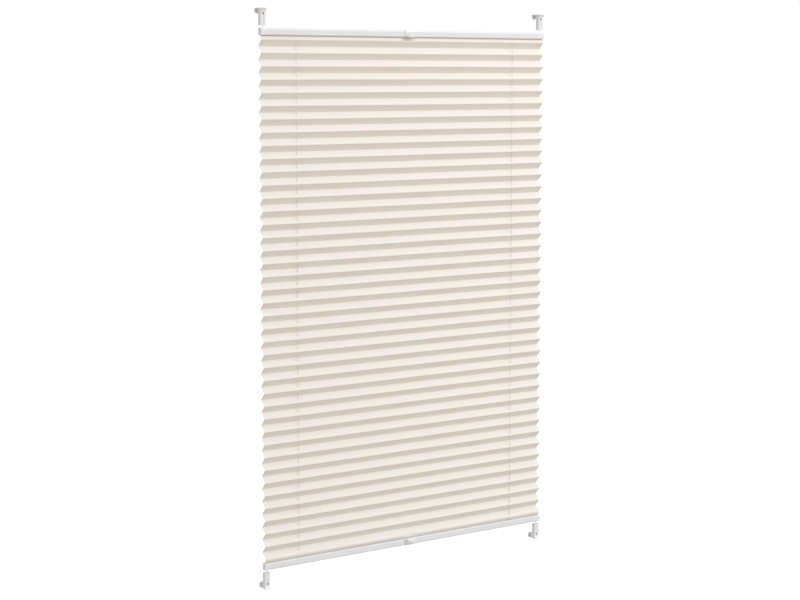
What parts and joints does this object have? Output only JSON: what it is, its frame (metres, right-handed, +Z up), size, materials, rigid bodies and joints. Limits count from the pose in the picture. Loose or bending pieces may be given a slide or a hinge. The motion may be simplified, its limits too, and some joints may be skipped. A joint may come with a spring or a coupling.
{
  "type": "clamp-on pleated window blind",
  "caption": "White pleated window blind between sliding rails on tension cords, held on a window sash by clamp brackets, with the fabric drawn out.",
  "frame": {"origin": "on the window sash's room face, at its top edge, midway between the two top clamp brackets", "axes": "+Z up, +Y from the room towards the glass, +X to the right seen from the room"},
  "size_m": [0.812, 0.0463, 1.3284],
  "materials": {
    "rail": "powder-coated white, satin",
    "moulding": "white moulded polymer, fine satin",
    "handle": "white moulded polymer, semi-gloss",
    "fabric": "warm white pleated polyester, light-diffusing",
    "cord": "braided polyester",
    "steel": "zinc-plated",
    "pad": "white moulded polymer"
  },
  "bodies": {
    "frame": {"pleated_fabric": "fabric", "tension_cord_left": "cord", "tension_cord_right": "cord", "bracket_top_left": "moulding", "tension_shoe_top_left": "moulding", "bracket_top_right": "moulding", "tension_shoe_top_right": "moulding", "bracket_bottom_left": "moulding", "tension_shoe_bottom_left": "moulding", "bracket_bottom_right": "moulding", "tension_shoe_bottom_right": "moulding"},
    "top_rail_set": {"top_rail": "rail", "rail_cap_top_left": "moulding", "rail_cap_top_right": "moulding", "cord_guide_top_left": "moulding", "cord_guide_top_right": "moulding", "fabric_strip_top": "moulding", "handle_top": "handle"},
    "bottom_rail_set": {"bottom_rail": "rail", "rail_cap_bottom_left": "moulding", "rail_cap_bottom_right": "moulding", "cord_guide_bottom_left": "moulding", "cord_guide_bottom_right": "moulding", "fabric_strip_bottom": "moulding", "handle_bottom": "handle"},
    "clamp_pad_set_top_left": {"clamp_pad_top_left": "pad"},
    "clamp_screw_set_top_left": {"clamp_screw_top_left": "steel"},
    "clamp_pad_set_top_right": {"clamp_pad_top_right": "pad"},
    "clamp_screw_set_top_right": {"clamp_screw_top_right": "steel"},
    "clamp_pad_set_bottom_left": {"clamp_pad_bottom_left": "pad"},
    "clamp_screw_set_bottom_left": {"clamp_screw_bottom_left": "steel"},
    "clamp_pad_set_bottom_right": {"clamp_pad_bottom_right": "pad"},
    "clamp_screw_set_bottom_right": {"clamp_screw_bottom_right": "steel"}
  },
  "joints": [
    {"name": "top_rail_slide", "type": "slide", "parent": "frame", "child": "top_rail_set", "axis": [0, 0, -1], "range_m": [0, 0.5735], "deforming": ["pleated_fabric", "tension_cord_left", "tension_cord_right"]},
    {"name": "bottom_rail_slide", "type": "slide", "parent": "frame", "child": "bottom_rail_set", "axis": [0, 0, 1], "range_m": [0, 0.5735], "deforming": ["pleated_fabric", "tension_cord_left", "tension_cord_right"]},
    {"name": "clamp_slide_top_left", "type": "slide", "parent": "frame", "child": "clamp_pad_set_top_left", "axis": [0, -1, 0], "range_m": [0, 0.0045]},
    {"name": "clamp_turn_top_left", "type": "hinge", "parent": "clamp_pad_set_top_left", "child": "clamp_screw_set_top_left", "pos_m": [-0.3982, 0.0136, -0.005], "axis": [0, -1, 0], "range_deg": [0, 2025.01]},
    {"name": "clamp_slide_top_right", "type": "slide", "parent": "frame", "child": "clamp_pad_set_top_right", "axis": [0, -1, 0], "range_m": [0, 0.0045]},
    {"name": "clamp_turn_top_right", "type": "hinge", "parent": "clamp_pad_set_top_right", "child": "clamp_screw_set_top_right", "pos_m": [0.3982, 0.0136, -0.005], "axis": [0, -1, 0], "range_deg": [0, 2025.01]},
    {"name": "clamp_slide_bottom_left", "type": "slide", "parent": "frame", "child": "clamp_pad_set_bottom_left", "axis": [0, -1, 0], "range_m": [0, 0.0045]},
    {"name": "clamp_turn_bottom_left", "type": "hinge", "parent": "clamp_pad_set_bottom_left", "child": "clamp_screw_set_bottom_left", "pos_m": [-0.3982, 0.0136, -1.31938], "axis": [0, -1, 0], "range_deg": [0, 2025.01]},
    {"name": "clamp_slide_bottom_right", "type": "slide", "parent": "frame", "child": "clamp_pad_set_bottom_right", "axis": [0, -1, 0], "range_m": [0, 0.0045]},
    {"name": "clamp_turn_bottom_right", "type": "hinge", "parent": "clamp_pad_set_bottom_right", "child": "clamp_screw_set_bottom_right", "pos_m": [0.3982, 0.0136, -1.31938], "axis": [0, -1, 0], "range_deg": [0, 2025.01]}
  ],
  "couplings": [
    {"joint": "clamp_turn_top_left", "follows": "clamp_slide_top_left", "rad_per_m": 7854},
    {"joint": "clamp_turn_top_right", "follows": "clamp_slide_top_right", "rad_per_m": 7854},
    {"joint": "clamp_turn_bottom_left", "follows": "clamp_slide_bottom_left", "rad_per_m": 7854},
    {"joint": "clamp_turn_bottom_right", "follows": "clamp_slide_bottom_right", "rad_per_m": 7854}
  ]
}
